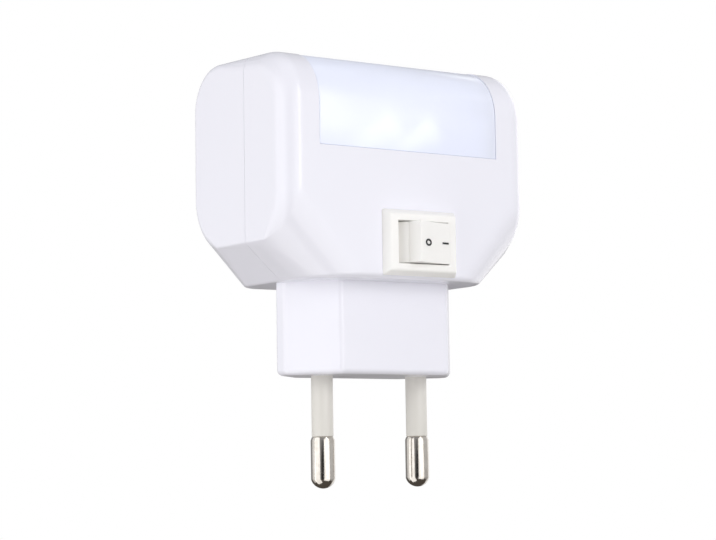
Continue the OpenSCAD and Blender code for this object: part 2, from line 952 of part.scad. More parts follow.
module resistors() {
    cap_len = 1.6;
    waist_d = resistor_d - 2 * resistor_waist_cut;
    color("tan")
        for (y = resistor_y)
            translate([resistor_x, y, resistor_z])
                rotate([0, 90, 0]) {
                    cylinder(resistor_len - cap_len, d = waist_d, center = true);
                    for (side = [-1, 1])
                        translate([0, 0, side * (resistor_len - cap_len) / 2])
                            cylinder(cap_len, d = resistor_d, center = true);
                }
}

module component_leads() {
    short = 0.3;
    color("silver") {
        for (foot = component_feet)
            translate([foot[0], foot[1], board_bottom])
                cylinder(board_t - short, d = lead_d);
        for (y = resistor_y, side = [-1, 1])
            translate([resistor_x, y, resistor_z]) {
                translate([side * resistor_lead_pitch / 2, 0, 0]) {
                    sphere(d = lead_d);
                    cylinder(board_top - short - resistor_z, d = lead_d);
                }
                rotate([0, side * 90, 0])
                    translate([0, 0, resistor_len / 2])
                        cylinder((resistor_lead_pitch - resistor_len) / 2, d = lead_d);
            }
    }
}

// Wires and screws

// Point at share t between b and c on a smooth curve through a, b, c and d
function curve_point(a, b, c, d, t) =
    let (t2 = t * t, t3 = t2 * t)
    (2 * b + (c - a) * t + (2 * a - 5 * b + 4 * c - d) * t2 + (3 * b - a - 3 * c + d) * t3) / 2;

// Curve through the points of a route: straight first and last stretches, smooth between them
function smooth_route(p, steps) = [
    p[0],
    for (i = [1 : len(p) - 3], k = [0 : steps - 1])
        curve_point(p[i - 1], p[i], p[i + 1], p[i + 2], k / steps),
    p[len(p) - 2],
    p[len(p) - 1]
];

function direction(p, i) = unit(p[min(i + 1, len(p) - 1)] - p[max(i - 1, 0)]);

// Side direction of each ring, carried along the curve without twisting
function carried(p, i, side) =
    let (along = direction(p, i), flat = unit(side - along * (side * along)))
    i == len(p) - 1 ? [flat] : concat([flat], carried(p, i + 1, flat));

// Closed tube along a line of points
module tube(p, d, sides) {
    first = direction(p, 0);
    across = carried(p, 0, abs(first[0]) < 0.9 ? [1, 0, 0] : [0, 1, 0]);
    rings = len(p);
    points = [
        for (i = [0 : rings - 1], k = [0 : sides - 1])
            let (up = cross(direction(p, i), across[i]), angle = 360 * k / sides)
            p[i] + (across[i] * cos(angle) + up * sin(angle)) * d / 2
    ];
    walls = [
        for (i = [0 : rings - 2], k = [0 : sides - 1])
            let (a = i * sides + k, b = i * sides + (k + 1) % sides)
            each [[a, a + sides, b + sides], [a, b + sides, b]]
    ];
    first_end = [for (k = [1 : sides - 2]) [0, k, k + 1]];
    last = (rings - 1) * sides;
    last_end = [for (k = [1 : sides - 2]) [last, last + k + 1, last + k]];
    polyhedron(points, concat(walls, first_end, last_end));
}

module live_wire() {
    color("saddlebrown")
        tube(smooth_route(live_route, wire_steps), wire_d, wire_sides);
}

module switched_wire() {
    color("black")
        tube(smooth_route(switched_route, wire_steps), wire_d, wire_sides);
}

module neutral_wire() {
    color("royalblue")
        tube(smooth_route(neutral_route, wire_steps), wire_d, wire_sides);
}

module case_screws() {
    drive_w = 0.9;
    drive_len = 3;
    drive_depth = 1;
    color("silver")
        for (side = [-1, 1])
            translate([side * screw_x, screw_seat_y, screw_z])
                rotate([90, 0, 0])
                    difference() {
                        union() {
                            cylinder(screw_len, d = screw_d);
                            translate([0, 0, -screw_head_t])
                                cylinder(screw_head_t, d = screw_head_d);
                        }
                        for (turn = [0, 90])
                            rotate([0, 0, turn])
                                translate([0, 0, -screw_head_t])
                                    cube([drive_w, drive_len, 2 * drive_depth], center = true);
                    }
}

front_shell();
rear_shell();
window_lens();
reflector();
plug_body();
contact_pin_left();
contact_pin_right();
pin_sleeve_left();
pin_sleeve_right();
switch_frame();
switch_rocker();
rocker_marks();
rocker_plunger();
rocker_spring();
contact_lever();
common_terminal();
load_terminal();
circuit_board();
led_left();
led_centre();
led_right();
led_leads();
film_capacitor();
smoothing_capacitor();
bridge_rectifier();
resistors();
component_leads();
live_wire();
switched_wire();
neutral_wire();
case_screws();
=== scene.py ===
import math

import bpy
from mathutils import Matrix, Vector


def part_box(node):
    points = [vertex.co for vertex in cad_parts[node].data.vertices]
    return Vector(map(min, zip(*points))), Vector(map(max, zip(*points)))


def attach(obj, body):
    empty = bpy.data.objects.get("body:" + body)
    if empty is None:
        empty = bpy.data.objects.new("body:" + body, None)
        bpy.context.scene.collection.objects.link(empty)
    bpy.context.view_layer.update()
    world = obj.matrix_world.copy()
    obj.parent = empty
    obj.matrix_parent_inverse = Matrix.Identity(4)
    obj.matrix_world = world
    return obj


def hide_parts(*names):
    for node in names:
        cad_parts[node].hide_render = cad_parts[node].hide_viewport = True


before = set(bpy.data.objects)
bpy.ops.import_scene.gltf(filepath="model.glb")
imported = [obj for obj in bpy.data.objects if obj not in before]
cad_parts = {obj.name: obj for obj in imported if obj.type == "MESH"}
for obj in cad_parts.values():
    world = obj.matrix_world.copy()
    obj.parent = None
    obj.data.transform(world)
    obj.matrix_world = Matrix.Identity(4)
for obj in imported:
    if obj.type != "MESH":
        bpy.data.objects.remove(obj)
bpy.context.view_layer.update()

# Studio: the photograph's viewpoint and plain soft boxes round the object, one of them a narrow strip
# for the highlight on the housing's upright edge. The surround is white to the eye, gives less and
# warmer light from below, and is dark round the viewpoint, where the nickel pins mirror it.
MM = 0.001
view_azimuth = math.radians(33.833)
view_elevation = math.radians(-5.531)
view_roll = math.radians(-0.889)
view_distance = 344.091 * MM
view_lens = 102.647
aim_across = -1.651 * MM
aim_height = 17.996 * MM
back = Vector((
    -math.sin(view_azimuth) * math.cos(view_elevation),
    -math.cos(view_azimuth) * math.cos(view_elevation),
    math.sin(view_elevation),
))
level = Vector((math.cos(view_azimuth), -math.sin(view_azimuth), 0))
upward = back.cross(level)
right = level * math.cos(view_roll) + upward * math.sin(view_roll)
up = upward * math.cos(view_roll) - level * math.sin(view_roll)
aim = level * aim_across + Vector((0, 0, aim_height))
camera_data = bpy.data.cameras.new("viewpoint")
camera_data.lens = view_lens
camera_data.sensor_width = 36
camera_data.sensor_fit = "HORIZONTAL"
camera_data.clip_start = 10 * MM
camera = bpy.data.objects.new("viewpoint", camera_data)
turn = Matrix((right, up, back)).transposed().to_4x4()
camera.matrix_world = Matrix.Translation(aim + back * view_distance) @ turn
bpy.context.scene.collection.objects.link(camera)
bpy.context.scene.camera = camera
bpy.context.scene.view_settings.view_transform = "Standard"


def soft_box(name, azimuth, elevation, distance, width, height, radiance):
    """A rectangular lamp turned to the object, with angles in degrees and lengths in metres."""
    data = bpy.data.lights.new(name, "AREA")
    data.shape = "RECTANGLE"
    data.size = width
    data.size_y = height
    data.energy = radiance * math.pi * width * height
    towards = Vector((
        -math.sin(math.radians(azimuth)) * math.cos(math.radians(elevation)),
        -math.cos(math.radians(azimuth)) * math.cos(math.radians(elevation)),
        math.sin(math.radians(elevation)),
    ))
    lamp = bpy.data.objects.new(name, data)
    lamp.location = aim + towards * distance
    lamp.rotation_euler = towards.to_track_quat("Z", "Y").to_euler()
    bpy.context.scene.collection.objects.link(lamp)


soft_box("soft_box_left", 90, -16, 0.5, 0.56, 1.3, 1.36)
soft_box("soft_box_rear_left", 132, -4, 0.8, 0.58, 1.2, 0.7)
soft_box("soft_box_right", -6, -8, 0.8, 0.87, 1.2, 1.46)
soft_box("soft_box_strip", -9, 20, 0.8, 0.1, 0.6, 5.0)
soft_box("soft_box_far_right", -64, 4, 0.8, 0.78, 1.2, 0.35)
soft_box("soft_box_rear_right", -112, 0, 0.8, 0.6, 1.2, 1.0)
soft_box("soft_box_top", 34, 80, 0.9, 0.8, 0.8, 0.7)

gap_outer = math.radians(26)
gap_inner = math.radians(12)
gap_light = 0.07
low_height = -0.4
high_height = 0.2
low_light = (0.105, 0.092, 0.079, 1)
high_light = (0.39, 0.39, 0.40, 1)
world = bpy.data.worlds.new("surround")
world.use_nodes = True
bpy.context.scene.world = world
nodes, links = world.node_tree.nodes, world.node_tree.links
nodes.clear()
direction = nodes.new("ShaderNodeTexCoord")
to_view = nodes.new("ShaderNodeVectorMath")
to_view.operation = "DOT_PRODUCT"
to_view.inputs[1].default_value = Vector((back.x, back.y, 0)).normalized()
links.new(direction.outputs["Generated"], to_view.inputs[0])
gap = nodes.new("ShaderNodeMapRange")
gap.inputs["From Min"].default_value = math.cos(gap_outer)
gap.inputs["From Max"].default_value = math.cos(gap_inner)
gap.inputs["To Min"].default_value = 1
gap.inputs["To Max"].default_value = gap_light
links.new(to_view.outputs["Value"], gap.inputs["Value"])
height = nodes.new("ShaderNodeSeparateXYZ")
links.new(direction.outputs["Generated"], height.inputs["Vector"])
rise = nodes.new("ShaderNodeMapRange")
rise.interpolation_type = "SMOOTHSTEP"
rise.inputs["From Min"].default_value = low_height
rise.inputs["From Max"].default_value = high_height
links.new(height.outputs["Z"], rise.inputs["Value"])
tint = nodes.new("ShaderNodeMix")
tint.data_type = "RGBA"
tint.inputs["A"].default_value = low_light
tint.inputs["B"].default_value = high_light
links.new(rise.outputs["Result"], tint.inputs["Factor"])
ambient = nodes.new("ShaderNodeBackground")
links.new(tint.outputs["Result"], ambient.inputs["Color"])
links.new(gap.outputs["Result"], ambient.inputs["Strength"])
seen = nodes.new("ShaderNodeBackground")
seen.inputs["Color"].default_value = (1, 1, 1, 1)
ray = nodes.new("ShaderNodeLightPath")
choice = nodes.new("ShaderNodeMixShader")
links.new(ray.outputs["Is Camera Ray"], choice.inputs["Fac"])
links.new(ambient.outputs["Background"], choice.inputs[1])
links.new(seen.outputs["Background"], choice.inputs[2])
surround = nodes.new("ShaderNodeOutputWorld")
links.new(choice.outputs["Shader"], surround.inputs["Surface"])

# Moulded skin: the surface that a mould leaves on plastic, used for the paper and the lacquered parts
# as well. It has slow patches of colour and gloss, and a fine grain.


def new_material(name):
    """An empty node material: its nodes, its links and its Principled BSDF."""
    material = bpy.data.materials.new(name)
    material.use_nodes = True
    tree = material.node_tree
    return material, tree.nodes, tree.links, tree.nodes["Principled BSDF"]


def new_group(name, inputs, outputs):
    """A shader node group with the given input values and output kinds."""
    group = bpy.data.node_groups.new(name, "ShaderNodeTree")
    for label, kind, value in inputs:
        socket = group.interface.new_socket(label, in_out="INPUT", socket_type="NodeSocket" + kind)
        socket.default_value = value
    for label, kind in outputs:
        group.interface.new_socket(label, in_out="OUTPUT", socket_type="NodeSocket" + kind)
    return group, group.nodes.new("NodeGroupInput"), group.nodes.new("NodeGroupOutput")


skin, skin_in, skin_out = new_group(
    "moulded_skin",
    [
        ("Colour", "Color", (0.8, 0.8, 0.8, 1)),
        ("Patch Colour", "Color", (0.7, 0.7, 0.7, 1)),
        ("Patches per Metre", "Float", 60),
        ("Grain per Metre", "Float", 4000),
        ("Grain Height", "Float", 4e-6),
        ("Low Roughness", "Float", 0.3),
        ("High Roughness", "Float", 0.4),
    ],
    [("Colour", "Color"), ("Roughness", "Float"), ("Normal", "Vector")],
)
nodes, links = skin.nodes, skin.links
place = nodes.new("ShaderNodeTexCoord")
patches = nodes.new("ShaderNodeTexNoise")
patches.inputs["Detail"].default_value = 3
links.new(place.outputs["Object"], patches.inputs["Vector"])
links.new(skin_in.outputs["Patches per Metre"], patches.inputs["Scale"])
blend = nodes.new("ShaderNodeMix")
blend.data_type = "RGBA"
links.new(patches.outputs["Fac"], blend.inputs["Factor"])
links.new(skin_in.outputs["Colour"], blend.inputs["A"])
links.new(skin_in.outputs["Patch Colour"], blend.inputs["B"])
gloss = nodes.new("ShaderNodeMapRange")
links.new(patches.outputs["Fac"], gloss.inputs["Value"])
links.new(skin_in.outputs["Low Roughness"], gloss.inputs["To Min"])
links.new(skin_in.outputs["High Roughness"], gloss.inputs["To Max"])
grain = nodes.new("ShaderNodeTexNoise")
grain.inputs["Detail"].default_value = 2
links.new(place.outputs["Object"], grain.inputs["Vector"])
links.new(skin_in.outputs["Grain per Metre"], grain.inputs["Scale"])
relief = nodes.new("ShaderNodeBump")
relief.inputs["Strength"].default_value = 1
links.new(grain.outputs["Fac"], relief.inputs["Height"])
links.new(skin_in.outputs["Grain Height"], relief.inputs["Distance"])
links.new(blend.outputs["Result"], skin_out.inputs["Colour"])
links.new(gloss.outputs["Result"], skin_out.inputs["Roughness"])
links.new(relief.outputs["Normal"], skin_out.inputs["Normal"])


def moulded(name, colour, patch_colour, low=0.3, high=0.4, grain=4000, height=4e-6, patch=60, **sockets):
    """A moulded or cast material with the moulded skin's colour, gloss and grain."""
    material, nodes, links, shader = new_material(name)
    effect = nodes.new("ShaderNodeGroup")
    effect.node_tree = skin
    effect.inputs["Colour"].default_value = (*colour, 1)
    effect.inputs["Patch Colour"].default_value = (*patch_colour, 1)
    effect.inputs["Patches per Metre"].default_value = patch
    effect.inputs["Grain per Metre"].default_value = grain
    effect.inputs["Grain Height"].default_value = height
    effect.inputs["Low Roughness"].default_value = low
    effect.inputs["High Roughness"].default_value = high
    links.new(effect.outputs["Colour"], shader.inputs["Base Color"])
    links.new(effect.outputs["Roughness"], shader.inputs["Roughness"])
    links.new(effect.outputs["Normal"], shader.inputs["Normal"])
    for label, value in sockets.items():
        shader.inputs[label.replace("_", " ")].default_value = value
    return material


# Floor: a plain pale sheet of paper well below the lamp, kept from lighting its underside and from
# showing in the pins
floor_drop = 350 * MM
floor_radius = 0.45


def pick(piece):
    """Makes one piece the only selected and the active one."""
    bpy.ops.object.select_all(action="DESELECT")
    piece.select_set(True)
    bpy.context.view_layer.objects.active = piece


def settle(piece):
    """Moves a piece's place, turn and size into its mesh."""
    pick(piece)
    bpy.ops.object.transform_apply(location=True, rotation=True, scale=True)


bpy.ops.object.select_all(action="DESELECT")
bpy.ops.mesh.primitive_circle_add(
    vertices=96, radius=floor_radius, fill_type="NGON", location=(0, 0, -floor_drop),
)
floor = bpy.context.object
floor.name = "studio_floor"
floor.visible_diffuse = False
floor.visible_glossy = False
floor.visible_shadow = False
settle(floor)
floor.data.materials.append(moulded(
    "studio_paper", (0.92, 0.92, 0.92), (0.90, 0.90, 0.90), 0.85, 0.95, grain=400, height=1e-4, patch=3,
))

# Drawn metal: the finish of plated and rolled metal, with streaks along the way it was drawn and a few
# dull spots, as colour, gloss and fine relief
drawn, drawn_in, drawn_out = new_group(
    "drawn_metal",
    [
        ("Colour", "Color", (0.8, 0.8, 0.8, 1)),
        ("Streak Colour", "Color", (0.6, 0.6, 0.6, 1)),
        ("Streaks per Metre", "Float", 6000),
        ("Stretch", "Vector", (1, 1, 0.05)),
        ("Low Roughness", "Float", 0.12),
        ("High Roughness", "Float", 0.28),
        ("Streak Height", "Float", 1e-6),
    ],
    [("Colour", "Color"), ("Roughness", "Float"), ("Normal", "Vector")],
)
nodes, links = drawn.nodes, drawn.links
place = nodes.new("ShaderNodeTexCoord")
along = nodes.new("ShaderNodeMapping")
links.new(place.outputs["Object"], along.inputs["Vector"])
links.new(drawn_in.outputs["Stretch"], along.inputs["Scale"])
streaks = nodes.new("ShaderNodeTexNoise")
streaks.inputs["Detail"].default_value = 4
links.new(along.outputs["Vector"], streaks.inputs["Vector"])
links.new(drawn_in.outputs["Streaks per Metre"], streaks.inputs["Scale"])
spots = nodes.new("ShaderNodeTexNoise")
spots.inputs["Scale"].default_value = 900
spots.inputs["Detail"].default_value = 2
links.new(place.outputs["Object"], spots.inputs["Vector"])
mixed = nodes.new("ShaderNodeMath")
mixed.operation = "MULTIPLY"
links.new(streaks.outputs["Fac"], mixed.inputs[0])
links.new(spots.outputs["Fac"], mixed.inputs[1])
tone = nodes.new("ShaderNodeMapRange")
tone.inputs["From Min"].default_value = 0.1
tone.inputs["From Max"].default_value = 0.45
links.new(mixed.outputs["Value"], tone.inputs["Value"])
blend = nodes.new("ShaderNodeMix")
blend.data_type = "RGBA"
links.new(tone.outputs["Result"], blend.inputs["Factor"])
links.new(drawn_in.outputs["Colour"], blend.inputs["A"])
links.new(drawn_in.outputs["Streak Colour"], blend.inputs["B"])
gloss = nodes.new("ShaderNodeMapRange")
links.new(tone.outputs["Result"], gloss.inputs["Value"])
links.new(drawn_in.outputs["Low Roughness"], gloss.inputs["To Min"])
links.new(drawn_in.outputs["High Roughness"], gloss.inputs["To Max"])
relief = nodes.new("ShaderNodeBump")
relief.inputs["Strength"].default_value = 1
links.new(streaks.outputs["Fac"], relief.inputs["Height"])
links.new(drawn_in.outputs["Streak Height"], relief.inputs["Distance"])
links.new(blend.outputs["Result"], drawn_out.inputs["Colour"])
links.new(gloss.outputs["Result"], drawn_out.inputs["Roughness"])
links.new(relief.outputs["Normal"], drawn_out.inputs["Normal"])


def drawn_metal(name, colour, streak_colour, low, high, stretch=(1, 1, 0.05), scale=6000, height=1e-6):
    """A plated, drawn or rolled metal with streaks along the given stretch."""
    material, nodes, links, shader = new_material(name)
    effect = nodes.new("ShaderNodeGroup")
    effect.node_tree = drawn
    effect.inputs["Colour"].default_value = (*colour, 1)
    effect.inputs["Streak Colour"].default_value = (*streak_colour, 1)
    effect.inputs["Stretch"].default_value = stretch
    effect.inputs["Streaks per Metre"].default_value = scale
    effect.inputs["Low Roughness"].default_value = low
    effect.inputs["High Roughness"].default_value = high
    effect.inputs["Streak Height"].default_value = height
    links.new(effect.outputs["Colour"], shader.inputs["Base Color"])
    links.new(effect.outputs["Roughness"], shader.inputs["Roughness"])
    links.new(effect.outputs["Normal"], shader.inputs["Normal"])
    shader.inputs["Metallic"].default_value = 1
    return material


# Contact pins: turned brass rods, nickel plated, with a domed end, a short slope up to the sleeve,
# and a thin core that runs up through the plug to a collar and a solder tail
pin_low, pin_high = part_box("contact_pin_right")
pin_axis_x = (pin_low.x + pin_high.x) / 2
pin_tip_z = pin_low.z
pin_tail_z = pin_high.z
pin_r = 2.0 * MM
core_r = 1.3 * MM
tip_r = 0.02 * MM
dome_h = 1.5 * MM
shoulder_h = 0.6 * MM
sleeve_low, sleeve_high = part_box("pin_sleeve_right")
sleeve_low_z = sleeve_low.z
sleeve_high_z = sleeve_high.z
sleeve_r = (sleeve_high.x - sleeve_low.x) / 2
collar_r = 2.1 * MM
collar_h = 0.8 * MM
tail_h = 1.4 * MM
sides = 64


def turned(name, centre_x, centre_y, profile):
    """A solid of revolution: a disc drawn up through the (radius, height) pairs of its profile."""
    bpy.ops.object.select_all(action="DESELECT")
    radius, height = profile[0]
    bpy.ops.mesh.primitive_circle_add(
        vertices=sides, radius=radius, fill_type="NGON", location=(centre_x, centre_y, height)
    )
    piece = bpy.context.object
    piece.name = name
    settle(piece)
    bpy.ops.object.mode_set(mode="EDIT")
    bpy.ops.mesh.select_all(action="SELECT")
    for next_radius, next_height in profile[1:]:
        bpy.ops.mesh.extrude_region_move(
            TRANSFORM_OT_translate={"value": (0, 0, next_height - height)}
        )
        ratio = next_radius / radius
        bpy.ops.transform.resize(
            value=(ratio, ratio, 1), center_override=(centre_x, centre_y, next_height)
        )
        radius, height = next_radius, next_height
    bpy.ops.mesh.select_all(action="SELECT")
    bpy.ops.mesh.normals_make_consistent(inside=False)
    bpy.ops.object.mode_set(mode="OBJECT")
    return piece


def finish_smooth(piece, angle=35):
    """Smooth shading that keeps the edges sharper than the given angle."""
    pick(piece)
    bpy.ops.object.shade_smooth_by_angle(angle=math.radians(angle))


dome_r = (pin_r**2 + dome_h**2) / (2 * dome_h)
dome_steps = 14
dome_span = math.asin(pin_r / dome_r)
pin_profile = [(tip_r, pin_tip_z)]
for step in range(1, dome_steps + 1):
    angle = dome_span * step / dome_steps
    pin_profile.append((dome_r * math.sin(angle), pin_tip_z + dome_r * (1 - math.cos(angle))))
edge = 0.12 * MM
pin_profile += [
    (pin_r, pin_tip_z + dome_h + edge),
    (pin_r, sleeve_low_z - shoulder_h),
    (sleeve_r + edge / 4, sleeve_low_z - edge),
    (sleeve_r - edge, sleeve_low_z),
    (core_r, sleeve_low_z),
    (core_r, pin_tail_z - tail_h - collar_h),
    (collar_r, pin_tail_z - tail_h - collar_h),
    (collar_r, pin_tail_z - tail_h),
    (core_r, pin_tail_z - tail_h),
    (core_r, pin_tail_z - edge),
    (core_r - edge, pin_tail_z),
]
pin_nickel = drawn_metal("pin_nickel", (0.64, 0.61, 0.57), (0.52, 0.48, 0.43), 0.10, 0.22)
for side, suffix in ((-1, "left"), (1, "right")):
    pin = turned("nickel_pin_" + suffix, side * pin_axis_x, 0, pin_profile)
    finish_smooth(pin, 30)
    pin.data.materials.append(pin_nickel)
    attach(pin, "housing")
    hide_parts("contact_pin_" + suffix)

# Pin sleeves: light grey nylon tubes pushed over the pins' cores and seated in the plug's face,
# with softly rounded ends
round_r = 0.15 * MM
round_mid = 0.3 * round_r
sleeve_profile = [
    (core_r, sleeve_low_z),
    (sleeve_r - round_r, sleeve_low_z),
    (sleeve_r - round_mid, sleeve_low_z + round_mid),
    (sleeve_r, sleeve_low_z + round_r),
    (sleeve_r, sleeve_high_z - round_r),
    (sleeve_r - round_r, sleeve_high_z),
    (core_r, sleeve_high_z),
]
sleeve_grey = moulded(
    "sleeve_grey", (0.735, 0.715, 0.67), (0.71, 0.69, 0.645), 0.34, 0.46,
    grain=2600, height=5e-6, patch=220,
)
for side, suffix in ((-1, "left"), (1, "right")):
    sleeve = turned("sleeve_tube_" + suffix, side * pin_axis_x, 0, sleeve_profile)
    finish_smooth(sleeve, 50)
    sleeve.data.materials.append(sleeve_grey)
    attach(sleeve, "housing")
    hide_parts("pin_sleeve_" + suffix)

# Plug body: one white moulding with an eight-sided section and soft edges. Its neck passes through
# the housing's floor, and two ears on the neck hold it there.
shank_low, shank_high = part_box("plug_body")
shank_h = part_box("front_shell")[0].z
shank_flat_half = 10.65 * MM
shank_end_half = 1.25 * MM
shank_end_back = 1.2 * MM
shank_edge_setback = 0.42 * 1.2 * MM
shank_lip_r = 1.0 * MM
neck_inset = 1.5 * MM
neck_h = 1.6 * MM
ear_near = 8.2 * MM
ear_far = shank_high.x - neck_inset
ear_half = 5.0 * MM
near = 0.01 * MM
weld = 0.001 * MM
past = 2 * MM
square_on = 0.9


def block(name, low, high):
    """A box between two corners."""
    bpy.ops.object.select_all(action="DESELECT")
    low, high = Vector(low), Vector(high)
    bpy.ops.mesh.primitive_cube_add(size=1, location=(low + high) / 2)
    piece = bpy.context.object
    piece.name = name
    piece.scale = high - low
    settle(piece)
    return piece


def rod(name, radius, start, end, vertices=48):
    """A round bar between two points."""
    bpy.ops.object.select_all(action="DESELECT")
    start, end = Vector(start), Vector(end)
    run = end - start
    bpy.ops.mesh.primitive_cylinder_add(
        vertices=vertices, radius=radius, depth=run.length, location=(start + end) / 2,
        rotation=run.to_track_quat("Z", "Y").to_euler(),
    )
    piece = bpy.context.object
    piece.name = name
    settle(piece)
    return piece


def apply_modifier(piece, kind, **settings):
    """Adds one modifier with the given settings and applies it."""
    pick(piece)
    modifier = piece.modifiers.new(kind.lower(), kind)
    for label, value in settings.items():
        setattr(modifier, label, value)
    bpy.ops.object.modifier_apply(modifier=modifier.name)


def finish_flats(piece, angle):
    """Smooth shading that leaves the large faces flat beside their rounded edges."""
    finish_smooth(piece, angle)
    apply_modifier(piece, "WEIGHTED_NORMAL", keep_sharp=True, weight=80)


def combine(piece, operation, *tools):
    """Cuts the tools out of the piece, or joins them to it, and removes them."""
    for tool in tools:
        apply_modifier(piece, "BOOLEAN", operation=operation, object=tool, solver="EXACT")
        bpy.data.objects.remove(tool)


def edit(piece, component):
    """Opens a piece in edit mode with nothing selected, for picking by place or normal."""
    if bpy.context.mode != "OBJECT":
        bpy.ops.object.mode_set(mode="OBJECT")
    pick(piece)
    bpy.ops.object.mode_set(mode="EDIT")
    bpy.ops.mesh.select_mode(type=component)
    bpy.ops.mesh.select_all(action="DESELECT")


def pick_edges(piece, wanted):
    """Selects the edges whose two end points satisfy the test, and stays in edit mode."""
    edit(piece, "EDGE")
    bpy.ops.object.mode_set(mode="OBJECT")
    points = piece.data.vertices
    for line in piece.data.edges:
        line.select = wanted(points[line.vertices[0]].co, points[line.vertices[1]].co)
    bpy.ops.object.mode_set(mode="EDIT")


def pick_faces(piece, wanted):
    """Selects the faces whose centre and normal satisfy the test, and stays in edit mode."""
    edit(piece, "FACE")
    bpy.ops.object.mode_set(mode="OBJECT")
    for face in piece.data.polygons:
        face.select = wanted(face.center, face.normal)
    bpy.ops.object.mode_set(mode="EDIT")


def eight_sided(name, inset, bottom, top):
    """A block with the plug's eight-sided section, set in by a distance."""
    piece = block(name, (shank_low.x + inset, shank_low.y + inset, bottom),
                  (shank_high.x - inset, shank_high.y - inset, top))
    bpy.ops.object.mode_set(mode="EDIT")
    for side_x in (-1, 1):
        for side_y in (-1, 1):
            corner = Vector((side_x * shank_flat_half, side_y * shank_high.y, 0))
            end = Vector((side_x * shank_high.x, shank_end_back + side_y * shank_end_half, 0))
            along = end - corner
            outward = Vector((side_x * abs(along.y), side_y * abs(along.x), 0)).normalized()
            bpy.ops.mesh.select_all(action="SELECT")
            bpy.ops.mesh.bisect(
                plane_co=corner - outward * inset, plane_no=outward,
                use_fill=True, clear_outer=True, threshold=weld,
            )
    bpy.ops.object.mode_set(mode="OBJECT")
    return piece


plug = eight_sided("plug_moulding", 0, 0, shank_h)
pick_edges(plug, lambda a, b: abs(a.z - b.z) > shank_h / 2)
bpy.ops.mesh.bevel(offset=shank_edge_setback, segments=6, affect="EDGES")
pick_edges(plug, lambda a, b: max(a.z, b.z) < near)
bpy.ops.mesh.bevel(offset=shank_lip_r, segments=6, affect="EDGES")
pick_faces(plug, lambda centre, normal: normal.z > square_on)
bpy.ops.mesh.inset(thickness=neck_inset)
bpy.ops.mesh.extrude_region_move(TRANSFORM_OT_translate={"value": (0, 0, neck_h)})
bpy.ops.object.mode_set(mode="OBJECT")
neck_top = shank_h + neck_h
ears = [
    block("ear", (min(side * ear_near, side * ear_far), -ear_half, neck_top - neck_h / 2),
          (max(side * ear_near, side * ear_far), ear_half, shank_high.z))
    for side in (-1, 1)
]
combine(plug, "UNION", *ears)
for side in (-1, 1):
    axis_x = side * pin_axis_x
    seat = rod("seat", sleeve_r, (axis_x, 0, -past), (axis_x, 0, sleeve_high_z), sides)
    bore = rod("bore", core_r, (axis_x, 0, 0), (axis_x, 0, shank_high.z + past), sides)
    combine(plug, "DIFFERENCE", seat, bore)
finish_flats(plug, 40)
housing_white = moulded(
    "housing_white", (0.868, 0.866, 0.938), (0.853, 0.851, 0.925), 0.21, 0.265,
    grain=2200, height=2e-6, patch=45, IOR=1.55,
)
plug.data.materials.append(housing_white)
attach(plug, "housing")
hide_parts("plug_body")

# Rear shell: the back half of the housing, a thin white moulding with flat sides, rounded edges and
# a slope down to its base. Two bosses inside take the case screws from the back.
body_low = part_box("front_shell")[0]
body_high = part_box("rear_shell")[1]
seam_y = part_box("rear_shell")[0].y
wall = 1.5 * MM
front_edge_r = 3.6 * MM
rear_edge_r = 1.3 * MM
base_edge_r = 1.0 * MM
side_corner_r = 9.7 * MM
taper_h = 6.1 * MM
knee_r = 0.6 * MM
knee_front_y = -6.5 * MM
knee_rear_y = 8.5 * MM
base_half = 18.35 * MM
front_top_r = 8.9 * MM
front_base_r = 8.6 * MM
rear_top_r = 7.6 * MM
rear_base_r = 4.8 * MM
rear_lean = 2.3 * MM
least_r = 0.3 * MM
flat_angle = math.radians(0.3)
taper_angle = math.atan((body_high.x - base_half) / taper_h)
screws_low, screws_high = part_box("case_screws")
screw_head_r = 2.5 * MM
screw_x = screws_high.x - screw_head_r
screw_z = (screws_low.z + screws_high.z) / 2
screw_seat_y = seam_y + 5.0 * MM
counterbore_r = 2.8 * MM
screw_hole_r = 1.4 * MM
boss_r = 3.5 * MM
seam_gap = 0.06 * MM
shell_edge_r = 0.15 * MM


def ring(centre, turn, radius, tube, fine):
    """One rounded corner of the housing, as a ring of the given outer and tube radius."""
    bpy.ops.mesh.primitive_torus_add(
        location=centre, rotation=turn, major_radius=radius - tube, minor_radius=tube,
        major_segments=128 if fine else 48, minor_segments=40 if fine else 16,
    )
    return bpy.context.object


def knee_z(inset):
    """Lower end of the flat sides of the form that is set in by a distance."""
    return body_low.z + taper_h + inset * math.tan(taper_angle / 2)


